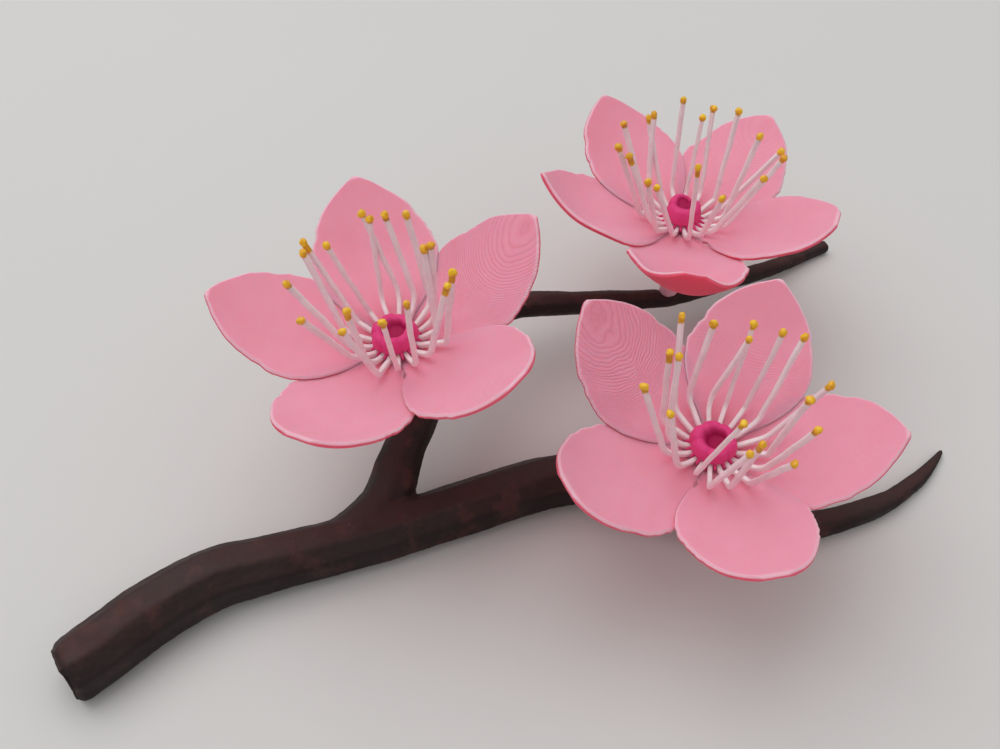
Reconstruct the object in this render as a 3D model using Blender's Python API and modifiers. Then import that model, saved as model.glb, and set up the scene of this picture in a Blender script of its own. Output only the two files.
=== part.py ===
"""Cherry blossom sprig: a printed ornament of a forked branch that lies on a table
and carries three five-petalled blossoms.

Each blossom is three printed pieces: a pink one of five overlapping petals on a short
stalk, a white star of seventeen stamens, and a magenta cup whose pin holds the star.
The stalk ends in a peg that stands in a hole in the branch.

Metres, +Z up. The branch lies along X, and the origin is on its flat underside at
the fork.
"""
import math
import random

import bmesh
import bpy
from mathutils import Matrix, Vector

MM = 0.001

# ---- driving dimensions -----------------------------------------------------
BLOOM_RADIUS = 34 * MM          # centre of a blossom to the tip of a petal
PETAL_THICKNESS = 1.2 * MM
FILAMENT_WIDTH = 1.25 * MM      # a stamen's stem, one printed strip wide
GAP = 0.3 * MM                  # clearance between pieces that are fitted together

# ---- petals -----------------------------------------------------------------
PETALS = 5
# Half of a petal's outline: how far along it, and its half width there, both in
# blossom radii. It is narrow at the root, broad in the middle and ends in a point.
POINTED_OUTLINE = ((0.06, 0.05), (0.18, 0.14), (0.32, 0.27), (0.45, 0.35),
                   (0.56, 0.372), (0.70, 0.33), (0.82, 0.265), (0.92, 0.155), (1.00, 0.0))
# Two of the five petals are blunt instead.
BLUNT_OUTLINE = ((0.06, 0.05), (0.18, 0.14), (0.32, 0.27), (0.45, 0.35),
                 (0.56, 0.372), (0.70, 0.345), (0.82, 0.285), (0.91, 0.19), (0.975, 0.0))
BLUNT_PETALS = (2, 3)
BOWL_POWER = 1.9                # how sharply the bowl turns up towards the tips
ACROSS_SHARE = 0.775            # a petal is this much flatter across than along
# How high each petal's tip stands above the floor of the bowl, and how much the
# petal leans to its left, both in blossom radii, going round from above clockwise.
TIP_RISE = (0.47, 0.43, 0.41, 0.43, 0.51)
PETAL_TWIST = (0.10, 0.03, 0.0, -0.09, -0.055)
# A petal may sag below the bowl on its way to the tip, by up to the share that its
# blossom gives, and so turn up more sharply there. This is where the sag starts, and
# what makes its curve one at its deepest.
SAG_START = 0.40
SAG_SCALE = 27 / 4
SAG_SIDE = 0.36                 # half width at which a sagging petal hardly sags
SAG_HELD = 0.9                  # share of the sag that is held back there
# A margin lies over (+1) or under (-1) the neighbour: (its left, its right).
MARGIN_SIDE = ((1, 1), (-1, -1), (1, 1), (-1, -1), (1, -1))
MARGIN_STEP = 0.45 * PETAL_THICKNESS    # each margin's share of the step at an overlap
MARGIN_START = math.radians(12)         # where a margin starts to lift or dip
MARGIN_FULL = math.radians(32)
WAVE_START = 0.50               # beyond this the outline is waved
WAVE_HEIGHT = 0.007
NEAR = 1e-9
PETAL_ROWS = 16
PETAL_COLUMNS = 6

# ---- hub, stalk and peg -----------------------------------------------------
HUB_RADIUS = 0.165 * BLOOM_RADIUS
HUB_DROP = 0.25 * MM            # the hub's top lies this far below the petals' top
HUB_HEIGHT = 2.6 * MM
SLIT_RADIUS = 0.205 * BLOOM_RADIUS      # the gap left open between two petals' roots
SLIT_SIZE = 0.035 * BLOOM_RADIUS
STALK_LENGTH = 19.8 * MM        # floor of the bowl to the seat on the branch
STALK_RADIUS = 2.15 * MM
STALK_TOP_RADIUS = 3.0 * MM
PEG_RADIUS = 1.1 * MM
PEG_LENGTH = 2.2 * MM
PEG_ROOT = 0.5 * MM             # the peg and every cutter run on this far and more
CUTTER_REACH = 8 * MM           # into what they join or clear

# ---- stamens ----------------------------------------------------------------
STAMENS = 17
STAR_RADIUS = 0.10 * BLOOM_RADIUS       # ring that the stamens grow from
STAR_LIFT = 1.25 * MM                   # height of the ring's middle
LEVEL_RADIUS = 0.155 * BLOOM_RADIUS     # a stamen runs level this far, under the cup
BEND_RADIUS = 0.285 * BLOOM_RADIUS      # where a stamen turns up
BEND_SPREAD = 0.045 * BLOOM_RADIUS
BEND_CLEARANCE = 1.68 * MM              # middle of a bend over the bowl
STEM_LENGTH = 0.59 * BLOOM_RADIUS       # from the bend to the anther
LENGTH_SPREAD = 0.08                    # share of a stem's length
LEAN_SPREAD = math.radians(13)          # each stem leans out by the blossom's mean
SIDE_SPREAD = math.radians(13)          # and up to this much more, and sideways
ANTHER_RADIUS = 0.95 * MM

# ---- magenta cup ------------------------------------------------------------
CUP_RADIUS = 0.125 * BLOOM_RADIUS
CUP_BASE = STAR_LIFT + FILAMENT_WIDTH / 2 + GAP
CUP_HEIGHT = 3.2 * MM
CUP_HOLLOW_DEPTH = 2.2 * MM
CUP_WALL = 1.3 * MM
CUP_LOBES = 5
CUP_SIDES = 20
PIN_RADIUS = 1.4 * MM
PIN_BOTTOM = -2.6 * MM

# ---- branch -----------------------------------------------------------------
# Points along each limb: x, y, height of its middle, and radius, in millimetres.
# The main limb's middle stands a little less than its radius above the table, so
# that its underside is cut flat. The arm leaves it at the fork, arches clear of the
# table under the left blossom and comes down again to touch it at its end.
MAIN_LIMB = ((-62, -35.2, 5.7, 6.5), (-54, -29, 5.8, 6.6), (-44.2, -19.6, 6.0, 6.8),
             (-33, -11.4, 5.8, 6.6), (-23.2, -7.8, 5.3, 6.15), (0, -0.2, 4.9, 5.85),
             (22.3, 8.4, 5.1, 6.0), (39, 13.9, 5.0, 5.9), (51.5, 12.6, 4.4, 5.2),
             (65.7, 7.2, 3.6, 4.2), (78, 3.7, 3.1, 3.7), (91, 3.6, 2.7, 3.2),
             (105.7, 9, 2.1, 2.5), (112, 12.9, 1.8, 2.15), (118, 18.1, 1.3, 1.55),
             (123.5, 24.5, 0.9, 0.6))
ARM_LIMB = ((-14, -5.5, 4.6, 4.6), (-5, 0.5, 5.0, 5.5), (0.5, 6.6, 6.4, 5.4),
            (2.8, 13, 9.6, 5.0), (5, 18.2, 13.0, 4.4), (7.6, 23.2, 15.6, 4.3),
            (9, 32.5, 16.8, 4.0), (13.7, 42.6, 16.6, 3.8), (20.8, 51.4, 15.7, 3.5),
            (29.5, 56.8, 14.3, 3.2), (40.3, 58.9, 12.6, 3.0), (51, 61.8, 10.5, 2.75),
            (65, 65.8, 7.6, 2.5), (83.2, 74.8, 5.0, 2.45), (96, 82.2, 2.8, 2.1),
            (109.5, 90.6, 1.45, 1.8))
LIMB_STEP = 6 * MM              # spacing of the sections along a limb
FACET_TURN = math.radians(22.5)     # turns the eight-sided section flat side up
SEAT_DEPTH = 0.25               # share of the limb's radius that a seat is sunk
TABLE_SIZE = (0.30, 0.30, 0.02)         # block that cuts the underside flat
TABLE_MIDDLE = (0.03, 0.02, -0.01)
CUT_END = (-57.6, -32.3, 5.0)   # mm; a point on the flat cut that ends the main limb
CUT_TURN = math.radians(35.7)   # which way the cut faces: from -X towards -Y
CUT_BLOCK = 40 * MM             # size of the block that makes the cut

# ---- blossoms ---------------------------------------------------------------
# The limb and the point on it that carry each; in degrees, how far it leans to the
# right and to the back and how far it is turned; how much each of its petals sags, in
# blossom radii; then its stamens: the star's own turn, the mean lean outwards, the
# lean of the whole bunch to the right and back, and the seed of the small differences
# between them.
BLOOMS = {
    "left": {"limb": ARM_LIMB, "point": 5, "lean": (-8.0, -1.9), "turn": 103,
             "sag": (0.0, 0.0, 0.02, 0.02, 0.0),
             "star_turn": 5, "open": 13, "brush": (-3, 5), "seed": 3844},
    "far": {"limb": ARM_LIMB, "point": 12, "lean": (3.2, 6.1), "turn": 121,
            "sag": (0.0, 0.0, 0.02, 0.20, 0.07),
            "star_turn": 0, "open": 19, "brush": (0, 0), "seed": 616},
    "right": {"limb": MAIN_LIMB, "point": 9, "lean": (0.5, -5.1), "turn": 64,
              "sag": (0.0, 0.0, 0.02, 0.03, 0.0),
              "star_turn": 5, "open": 15, "brush": (7, 4), "seed": 869},
}

# ---- colours (linear) and roughness -------------------------------------------
FINISHES = {
    "branch": ((0.030, 0.014, 0.013), 0.55),
    "petals": ((0.80, 0.235, 0.33), 0.50),
    "stamens": ((0.72, 0.56, 0.57), 0.50),
    "centre": ((0.52, 0.012, 0.11), 0.45),
}


def clear_scene():
    for thing in list(bpy.data.objects):
        bpy.data.objects.remove(thing, do_unlink=True)


def make_collection(name):
    collection = bpy.data.collections.new(name)
    bpy.context.scene.collection.children.link(collection)
    return collection


def make_material(name):
    colour, roughness = FINISHES[name]
    material = bpy.data.materials.new(name)
    material.use_nodes = True
    shader = material.node_tree.nodes["Principled BSDF"]
    shader.inputs["Base Color"].default_value = (*colour, 1.0)
    shader.inputs["Roughness"].default_value = roughness
    shader.inputs["Metallic"].default_value = 0.0
    return material


def add_mesh_object(name, shape, collection):
    """Turns a bmesh into an object in a collection."""
    mesh = bpy.data.meshes.new(name)
    shape.to_mesh(mesh)
    shape.free()
    thing = bpy.data.objects.new(name, mesh)
    collection.objects.link(thing)
    return thing


def applied_mesh(thing):
    """The mesh of an object with its modifiers applied."""
    graph = bpy.context.evaluated_depsgraph_get()
    mesh = bpy.data.meshes.new_from_object(thing.evaluated_get(graph))
    return mesh


def weld(mesh):
    """Joins the loose caps of a tube to its wall."""
    shape = bmesh.new()
    shape.from_mesh(mesh)
    bmesh.ops.remove_doubles(shape, verts=shape.verts, dist=1e-6)
    bmesh.ops.recalc_face_normals(shape, faces=shape.faces)
    shape.to_mesh(mesh)
    shape.free()


def smooth_curve(points, parts):
    """Points of a Catmull-Rom curve through the given ones, parts to each span."""
    first = 2 * Vector(points[0]) - Vector(points[1])
    last = 2 * Vector(points[-1]) - Vector(points[-2])
    row = [first, *[Vector(p) for p in points], last]
    curve = []
    for a, b, c, d in zip(row, row[1:], row[2:], row[3:]):
        for step in range(parts):
            t = step / parts
            curve.append(0.5 * (2 * b + (c - a) * t + (2 * a - 5 * b + 4 * c - d) * t ** 2
                                + (3 * b - a - 3 * c + d) * t ** 3))
    curve.append(row[-2])
    return curve


def unite(name, pieces, material, collection, solver="EXACT"):
    """One body made by a Boolean union of the pieces, which are then removed."""
    group = make_collection(name + " pieces")
    for piece in pieces[1:]:
        for owner in list(piece.users_collection):
            owner.objects.unlink(piece)
        group.objects.link(piece)
    base = pieces[0]
    union = base.modifiers.new("union", "BOOLEAN")
    union.operation = "UNION"
    union.operand_type = "COLLECTION"
    union.collection = group
    union.solver = solver
    mesh = applied_mesh(base)
    mesh.name = name
    mesh.materials.clear()
    mesh.materials.append(material)
    body = bpy.data.objects.new(name, mesh)
    collection.objects.link(body)
    for piece in pieces:
        bpy.data.objects.remove(piece, do_unlink=True)
    bpy.data.collections.remove(group)
    return body


def cut(body, cutter):
    """A live Boolean that takes the cutter's shape out of the body."""
    cutter.hide_render = True
    cutter.display_type = "WIRE"
    difference = body.modifiers.new("cut " + cutter.name, "BOOLEAN")
    difference.operation = "DIFFERENCE"
    difference.solver = "EXACT"
    difference.object = cutter


def cut_for_good(body, cutters):
    """Takes the cutters' shapes out of the body's own mesh and removes them."""
    for cutter in cutters:
        cut(body, cutter)
    mesh = applied_mesh(body)
    body.modifiers.clear()
    body.data = mesh
    for cutter in cutters:
        bpy.data.objects.remove(cutter, do_unlink=True)


def add_cone(name, bottom_radius, top_radius, bottom, top, sides, collection):
    """A cone or cylinder along Z, between two heights."""
    shape = bmesh.new()
    bmesh.ops.create_cone(shape, cap_ends=True, segments=sides, radius1=bottom_radius,
                          radius2=top_radius, depth=top - bottom,
                          matrix=Matrix.Translation((0, 0, (top + bottom) / 2)))
    return add_mesh_object(name, shape, collection)


# ---- the branch -------------------------------------------------------------

def add_limb(name, points, collection):
    """A tapering eight-sided limb through the points."""
    span = (Vector(points[-1][:3]) - Vector(points[0][:3])).length * MM
    parts = max(1, round(1.25 * span / LIMB_STEP / (len(points) - 1)))
    row = smooth_curve(points, parts)
    curve = bpy.data.curves.new(name, "CURVE")
    curve.dimensions = "3D"
    curve.bevel_depth = MM
    curve.bevel_resolution = 2
    curve.use_fill_caps = True
    spline = curve.splines.new("POLY")
    spline.points.add(len(row) - 1)
    for point, (x, y, z, radius) in zip(spline.points, row):
        point.co = (x * MM, y * MM, z * MM, 1.0)
        point.radius = radius
        point.tilt = FACET_TURN
    tube = bpy.data.objects.new(name, curve)
    collection.objects.link(tube)
    mesh = applied_mesh(tube)
    bpy.data.objects.remove(tube, do_unlink=True)
    weld(mesh)
    limb = bpy.data.objects.new(name, mesh)
    collection.objects.link(limb)
    return limb


def add_table_cutter(collection):
    """The block under the table's surface, which flattens the underside."""
    shape = bmesh.new()
    bmesh.ops.create_cube(shape, size=1.0)
    bmesh.ops.scale(shape, verts=shape.verts, vec=TABLE_SIZE)
    bmesh.ops.translate(shape, verts=shape.verts, vec=TABLE_MIDDLE)
    return add_mesh_object("table cutter", shape, collection)


def add_end_cutter(collection):
    """The block that cuts the main limb's thick end off flat and upright."""
    shape = bmesh.new()
    bmesh.ops.create_cube(shape, size=CUT_BLOCK)
    bmesh.ops.translate(shape, verts=shape.verts, vec=(-CUT_BLOCK / 2, 0, 0))
    bmesh.ops.rotate(shape, verts=shape.verts, matrix=Matrix.Rotation(CUT_TURN, 3, "Z"))
    bmesh.ops.translate(shape, verts=shape.verts, vec=Vector(CUT_END) * MM)
    return add_mesh_object("end cutter", shape, collection)


def seat_matrix(bloom):
    """Where a stalk's foot stands: on the limb, its Z along the blossom's axis."""
    x, y, z, radius = bloom["limb"][bloom["point"]]
    side, back = (math.radians(angle) for angle in bloom["lean"])
    lean = Matrix.Rotation(math.hypot(side, back), 4, Vector((-back, side, 0)))
    foot = Vector((x, y, z)) * MM + lean @ Vector((0, 0, (1 - SEAT_DEPTH) * radius * MM))
    return Matrix.Translation(foot) @ lean


def add_seat_cutter(name, bloom, collection):
    """A spot face as wide as the stalk's foot, with the peg's hole below it."""
    face = add_cone(name + " face", STALK_RADIUS + GAP, STALK_RADIUS + GAP,
                    -GAP, CUTTER_REACH, 16, collection)
    hole = add_cone(name + " hole", PEG_RADIUS + GAP, PEG_RADIUS + GAP,
                    -PEG_LENGTH - GAP, CUTTER_REACH / 2, 12, collection)
    seat = unite(name, [face, hole], None, collection)
    seat.matrix_world = seat_matrix(bloom)
    return seat


def make_branch(material, parts, cutters):
    main = add_limb("main limb", MAIN_LIMB, parts)
    arm = add_limb("arm limb", ARM_LIMB, parts)
    branch = unite("branch", [main, arm], material, parts)
    cut(branch, add_table_cutter(cutters))
    cut(branch, add_end_cutter(cutters))
    for name, bloom in BLOOMS.items():
        cut(branch, add_seat_cutter(name + " seat cutter", bloom, cutters))
    return branch


# ---- a blossom's petals -----------------------------------------------------

def smooth_step(value, start, end):
    t = min(1.0, max(0.0, (value - start) / (end - start)))
    return t * t * (3 - 2 * t)


def petal_height(number, sag, along, across):
    """Height of a petal's top face, in blossom radii, at a place on the petal."""
    bowl = TIP_RISE[number] * math.hypot(along, ACROSS_SHARE * across) ** BOWL_POWER
    side = MARGIN_SIDE[number][0 if across > 0 else 1]
    margin = smooth_step(abs(math.atan2(across, along)), MARGIN_START, MARGIN_FULL)
    fade = smooth_step(along, 0.10, 0.35)
    step = side * margin * fade * MARGIN_STEP / BLOOM_RADIUS
    outwards = max(0.0, (along - SAG_START) / (1 - SAG_START))
    held = 1 - SAG_HELD * (across / SAG_SIDE) ** 2
    dip = sag * SAG_SCALE * outwards ** 2 * (1 - outwards) * held
    return bowl + PETAL_TWIST[number] * along * across + step - dip


def petal_rows(points):
    """How far along a petal each row of points is, and its half width there."""
    outline = smooth_curve(points, 12)
    start, end = outline[0].x, outline[-1].x
    rows = []
    for number in range(PETAL_ROWS):
        share = number / (PETAL_ROWS - 1)
        along = start + (end - start) * (1 - (1 - share) ** 1.25)
        pairs = zip(outline, outline[1:])
        a, b = next((a, b) for a, b in pairs if b.x >= along - NEAR)
        width = a.y + (b.y - a.y) * (along - a.x) / (b.x - a.x)
        wave = WAVE_HEIGHT * (-1) ** number if along > WAVE_START else 0.0
        rows.append((along, max(0.0, width + wave)))
    rows[-1] = (end, 0.0)
    return rows


def add_petal(number, sag, collection):
    """One cupped petal: an open surface of triangles, thickened downwards."""
    shape = bmesh.new()
    half = PETAL_COLUMNS // 2
    rows = petal_rows(BLUNT_OUTLINE if number in BLUNT_PETALS else POINTED_OUTLINE)
    grid = []
    for along, width in rows[:-1]:
        places = [width * column / half for column in range(-half, half + 1)]
        grid.append([shape.verts.new((along, across,
                                      petal_height(number, sag, along, across)))
                     for across in places])
    end = rows[-1][0]
    tip = shape.verts.new((end, 0.0, petal_height(number, sag, end, 0.0)))
    for low, high in zip(grid, grid[1:]):
        for a, b, c, d in zip(low, high, high[1:], low[1:]):
            shape.faces.new((a, b, c, d))
    for a, b in zip(grid[-1], grid[-1][1:]):
        shape.faces.new((a, tip, b))
    bmesh.ops.triangulate(shape, faces=shape.faces)
    bmesh.ops.scale(shape, verts=shape.verts, vec=[BLOOM_RADIUS] * 3)
    turn = Matrix.Rotation(-number * math.tau / PETALS, 3, "Z")
    bmesh.ops.rotate(shape, verts=shape.verts, matrix=turn)
    petal = add_mesh_object(f"petal {number}", shape, collection)
    wall = petal.modifiers.new("thickness", "SOLIDIFY")
    wall.thickness = PETAL_THICKNESS
    wall.offset = -1.0
    mesh = applied_mesh(petal)
    petal.modifiers.clear()
    petal.data = mesh
    return petal


def make_petals(name, bloom, material, parts):
    """Five petals, the hub under them, the stalk and its peg, as one body."""
    pieces = [add_petal(number, sag, parts) for number, sag in enumerate(bloom["sag"])]
    hub_top = -HUB_DROP
    pieces.append(add_cone("hub", 0.55 * HUB_RADIUS, HUB_RADIUS, hub_top - HUB_HEIGHT,
                           hub_top, 20, parts))
    pieces.append(add_cone("stalk", STALK_RADIUS, STALK_TOP_RADIUS, -STALK_LENGTH,
                           hub_top - 0.4 * HUB_HEIGHT, 16, parts))
    pieces.append(add_cone("peg", PEG_RADIUS, PEG_RADIUS, -STALK_LENGTH - PEG_LENGTH,
                           -STALK_LENGTH + PEG_ROOT, 12, parts))
    petals = unite(name, pieces, material, parts)
    hole = PIN_RADIUS + GAP
    hole_cutter = add_cone("pin hole cutter", hole, hole, PIN_BOTTOM - GAP,
                           CUTTER_REACH, 12, parts)
    slit_cutter = add_cone("slit cutter", SLIT_SIZE, SLIT_SIZE, -CUTTER_REACH,
                           CUTTER_REACH, 3, parts)
    slit_cutter.data.transform(Matrix.Translation((-SLIT_RADIUS, 0, 0)))
    cut_for_good(petals, [hole_cutter, slit_cutter])
    return petals


# ---- a blossom's stamens ----------------------------------------------------

def bend_height(radius):
    """Height of a bend's middle that keeps it clear of the highest petal."""
    bowl = max(TIP_RISE) * (radius / BLOOM_RADIUS) ** BOWL_POWER * BLOOM_RADIUS
    return bowl + BEND_CLEARANCE


def stamen_points(number, bloom, draw):
    """Points along one stamen: its root, where it leaves the level, bend and tip."""
    azimuth = number * math.tau / STAMENS + math.radians(bloom["star_turn"])
    out = Vector((math.cos(azimuth), math.sin(azimuth), 0))
    side = Vector((-out.y, out.x, 0))
    up = Vector((0, 0, 1))
    bend = BEND_RADIUS + draw.uniform(-1, 1) * BEND_SPREAD
    lean = math.radians(bloom["open"]) + draw.uniform(-1, 1) * LEAN_SPREAD
    sway = draw.uniform(-1, 1) * SIDE_SPREAD
    length = STEM_LENGTH * (1 + draw.uniform(-1, 1) * LENGTH_SPREAD)
    right, back = (math.tan(math.radians(angle)) for angle in bloom["brush"])
    brush = Matrix.Rotation(-math.radians(bloom["turn"]), 3, "Z") @ Vector((right, back, 0))
    stem = up * math.cos(lean) + out * math.sin(lean) + side * math.tan(sway) + brush
    stem.normalize()
    root = out * STAR_RADIUS + up * STAR_LIFT
    level = out * LEVEL_RADIUS + up * STAR_LIFT
    corner = out * bend + up * bend_height(bend)
    before = corner - (corner - level).normalized() * FILAMENT_WIDTH
    after = corner + stem * FILAMENT_WIDTH
    return [root, level, before, after, corner + stem * length]


def add_filament(name, points, collection):
    """A four-sided strip along the points."""
    curve = bpy.data.curves.new(name, "CURVE")
    curve.dimensions = "3D"
    curve.bevel_depth = FILAMENT_WIDTH / math.sqrt(2)
    curve.bevel_resolution = 0
    curve.use_fill_caps = True
    spline = curve.splines.new("POLY")
    spline.points.add(len(points) - 1)
    for point, place in zip(spline.points, points):
        point.co = (*place, 1.0)
        point.tilt = math.radians(45)
    strip = bpy.data.objects.new(name, curve)
    collection.objects.link(strip)
    mesh = applied_mesh(strip)
    bpy.data.objects.remove(strip, do_unlink=True)
    weld(mesh)
    filament = bpy.data.objects.new(name, mesh)
    collection.objects.link(filament)
    return filament


def add_anther(name, place, collection):
    shape = bmesh.new()
    bmesh.ops.create_icosphere(shape, subdivisions=1, radius=ANTHER_RADIUS,
                               matrix=Matrix.Translation(place))
    return add_mesh_object(name, shape, collection)


def make_stamens(name, bloom, material, parts):
    """The star: a ring with a hole for the pin, and seventeen bent stamens."""
    draw = random.Random(bloom["seed"])
    half = FILAMENT_WIDTH / 2
    ring = add_cone("ring", STAR_RADIUS + half, STAR_RADIUS + half, STAR_LIFT - half,
                    STAR_LIFT + half, 17, parts)
    pieces = [ring]
    for number in range(STAMENS):
        points = stamen_points(number, bloom, draw)
        pieces.append(add_filament(f"filament {number}", points, parts))
        pieces.append(add_anther(f"anther {number}", points[-1], parts))
    stamens = unite(name, pieces, material, parts)
    hole = PIN_RADIUS + GAP
    cutter = add_cone("star hole cutter", hole, hole, -CUTTER_REACH, CUTTER_REACH, 12,
                      parts)
    cut_for_good(stamens, [cutter])
    return stamens


# ---- a blossom's magenta cup ------------------------------------------------

def lobed(radius, angle, depth):
    """A radius that swells in five lobes round the cup."""
    return radius * (1 + depth * math.cos(CUP_LOBES * angle))


def make_centre(name, material, parts):
    """A lobed cup, hollow on top, with the pin that holds the star down."""
    top = CUP_BASE + CUP_HEIGHT
    inner = CUP_RADIUS - CUP_WALL
    profile = ((PIN_RADIUS, PIN_BOTTOM, 0.0), (PIN_RADIUS, CUP_BASE, 0.0),
               (CUP_RADIUS, CUP_BASE, 0.0), (0.96 * CUP_RADIUS, CUP_BASE + 1.2 * MM, 0.03),
               (CUP_RADIUS, top, 0.08), (inner, top, 0.08),
               (0.75 * inner, top - CUP_HOLLOW_DEPTH, 0.02))
    shape = bmesh.new()
    rings = []
    for radius, height, depth in profile:
        ring = []
        for side in range(CUP_SIDES):
            angle = side * math.tau / CUP_SIDES
            r = lobed(radius, angle, depth)
            ring.append(shape.verts.new((r * math.cos(angle), r * math.sin(angle), height)))
        rings.append(ring)
    for low, high in zip(rings, rings[1:]):
        for side in range(CUP_SIDES):
            after = (side + 1) % CUP_SIDES
            shape.faces.new((low[side], low[after], high[after], high[side]))
    shape.faces.new(reversed(rings[0]))
    shape.faces.new(rings[-1])
    bmesh.ops.recalc_face_normals(shape, faces=shape.faces)
    centre = add_mesh_object(name, shape, parts)
    centre.data.materials.append(material)
    return centre


def place_on_stalk(thing, bloom):
    """Moves a piece modelled round the blossom's axis to its place on the branch."""
    up = Matrix.Translation((0, 0, STALK_LENGTH))
    turn = Matrix.Rotation(math.radians(bloom["turn"]), 4, "Z")
    thing.matrix_world = seat_matrix(bloom) @ up @ turn


def main():
    clear_scene()
    parts = make_collection("cherry blossom sprig")
    cutters = make_collection("cutters")
    materials = {name: make_material(name) for name in FINISHES}
    make_branch(materials["branch"], parts, cutters)
    centre = make_centre("centre_left", materials["centre"], parts)
    for name, bloom in BLOOMS.items():
        pieces = [make_petals("petals_" + name, bloom, materials["petals"], parts),
                  make_stamens("stamens_" + name, bloom, materials["stamens"], parts),
                  centre]
        if name != "left":
            pieces[-1] = bpy.data.objects.new("centre_" + name, centre.data)
            parts.objects.link(pieces[-1])
        for piece in pieces:
            place_on_stalk(piece, bloom)


main()
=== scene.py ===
# %% [markdown]
# # A printed cherry blossom sprig
#
# The sprig is an ornament printed in coloured plastic: a brown branch that lies on a
# table and carries three pink blossoms. Each blossom holds a white star of stamens
# with yellow tips, and a magenta cup stands in the middle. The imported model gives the
# pieces their places and sizes. This script dresses them: finer petals with thin, torn
# edges, strips with folded elbows, drops of paint, and the fine lines of the print.

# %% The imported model
import math
import random

import bmesh
import bpy
import numpy as np
from mathutils import Euler, Matrix, Vector


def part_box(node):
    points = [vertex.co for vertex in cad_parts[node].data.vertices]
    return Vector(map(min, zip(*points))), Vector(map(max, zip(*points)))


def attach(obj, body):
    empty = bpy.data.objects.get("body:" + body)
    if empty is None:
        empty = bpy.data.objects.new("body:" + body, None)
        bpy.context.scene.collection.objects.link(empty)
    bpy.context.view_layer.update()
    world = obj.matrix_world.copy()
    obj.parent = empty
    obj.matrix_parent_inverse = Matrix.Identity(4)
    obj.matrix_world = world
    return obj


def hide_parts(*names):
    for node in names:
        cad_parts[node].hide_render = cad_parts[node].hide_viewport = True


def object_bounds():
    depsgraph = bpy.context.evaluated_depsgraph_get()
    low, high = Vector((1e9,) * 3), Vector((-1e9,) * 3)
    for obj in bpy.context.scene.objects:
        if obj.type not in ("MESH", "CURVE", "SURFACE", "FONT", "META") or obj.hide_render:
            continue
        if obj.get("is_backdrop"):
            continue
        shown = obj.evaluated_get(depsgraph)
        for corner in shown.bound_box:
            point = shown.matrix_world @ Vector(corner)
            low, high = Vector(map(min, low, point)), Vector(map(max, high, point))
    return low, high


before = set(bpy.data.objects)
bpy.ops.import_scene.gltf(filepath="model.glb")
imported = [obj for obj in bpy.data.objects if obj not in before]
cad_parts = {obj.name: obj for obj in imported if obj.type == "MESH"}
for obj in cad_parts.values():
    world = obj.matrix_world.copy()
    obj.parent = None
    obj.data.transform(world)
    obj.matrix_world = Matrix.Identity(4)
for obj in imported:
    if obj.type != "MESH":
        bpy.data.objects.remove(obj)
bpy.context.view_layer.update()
print("nodes:", ", ".join(sorted(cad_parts)))

# %% [markdown]
# ## Sizes
#
# One length drives a blossom: the distance from its centre to the tip of a petal. The
# rest are shares of it, or the sizes of what the printer lays down, in millimetres.

# %% Driving sizes
MM = 0.001
BLOOM_RADIUS = 34 * MM
PETAL_THICKNESS = 1.2 * MM
STRIP_WIDTH = 1.25 * MM
STALK_LENGTH = 19.8 * MM
GAP = 0.3 * MM

# %% [markdown]
# ## Where the blossoms stand
#
# A blossom is modelled upright round its own axis and then moved to its seat on the
# branch. Its pose is the point of the limb that carries it, the limb's radius there,
# how far the blossom leans to the right and to the back, how far it is turned, and how
# much each petal sags before it turns up at its tip.
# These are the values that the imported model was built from. The cup's box in the model
# tells whether a pose is right.

# %% Poses of the blossoms
SEAT_DEPTH = 0.25               # share of the limb's radius that a foot is sunk
CUP_MIDDLE = 1.0 * MM           # middle of a cup with its pin, over the floor
BLOOMS = {
    "left": {"limb": (7.6, 23.2, 15.6, 4.3), "lean": (-8.0, -1.9), "turn": 103,
             "sag": (0.0, 0.0, 0.02, 0.02, 0.0)},
    "far": {"limb": (65, 65.8, 7.6, 2.5), "lean": (3.2, 6.1), "turn": 121,
            "sag": (0.0, 0.0, 0.02, 0.20, 0.07)},
    "right": {"limb": (65.7, 7.2, 3.6, 4.2), "lean": (0.5, -5.1), "turn": 64,
              "sag": (0.0, 0.0, 0.02, 0.03, 0.0)},
}


def bloom_matrix(bloom):
    """Takes a blossom's own frame, its floor at the origin, to its place."""
    x, y, z, radius = bloom["limb"]
    side, back = (math.radians(angle) for angle in bloom["lean"])
    lean = Matrix.Rotation(math.hypot(side, back), 4, Vector((-back, side, 0)))
    height = (1 - SEAT_DEPTH) * radius * MM + STALK_LENGTH
    foot = Matrix.Translation(Vector((x, y, z)) * MM)
    turn = Matrix.Rotation(math.radians(bloom["turn"]), 4, "Z")
    return foot @ lean @ Matrix.Translation((0, 0, height)) @ turn


for name, bloom in BLOOMS.items():
    low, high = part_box("centre_" + name)
    middle = bloom_matrix(bloom) @ Vector((0, 0, CUP_MIDDLE))
    error = (middle - (low + high) / 2).length
    print(f"blossom {name}: its cup lies {1000 * error:.2f} mm from the model's")

# %% [markdown]
# ## Formulas as nodes
#
# The petals follow a formula, and so do several finishes. A formula is easier to read
# with Python's own signs than as a row of Math nodes, so a small class lets a value in
# a node tree be added, multiplied and compared, and puts in the nodes by itself.

# %% Helpers for node trees


def feed(tree, socket, value):
    """Gives an input a plain value, or what a formula, an output or a node makes."""
    if isinstance(value, Formula):
        value = value.socket
    if isinstance(value, bpy.types.Node):
        value = value.outputs[0]
    if isinstance(value, bpy.types.NodeSocket):
        tree.links.new(value, socket)
    else:
        socket.default_value = value


def add_node(tree, kind, inputs=None, **settings):
    """A new node with its settings and, by name or number, its inputs."""
    node = tree.nodes.new(kind)
    for name, value in settings.items():
        setattr(node, name, value)
    for name, value in (inputs or {}).items():
        feed(tree, node.inputs[name], value)
    return node


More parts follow.
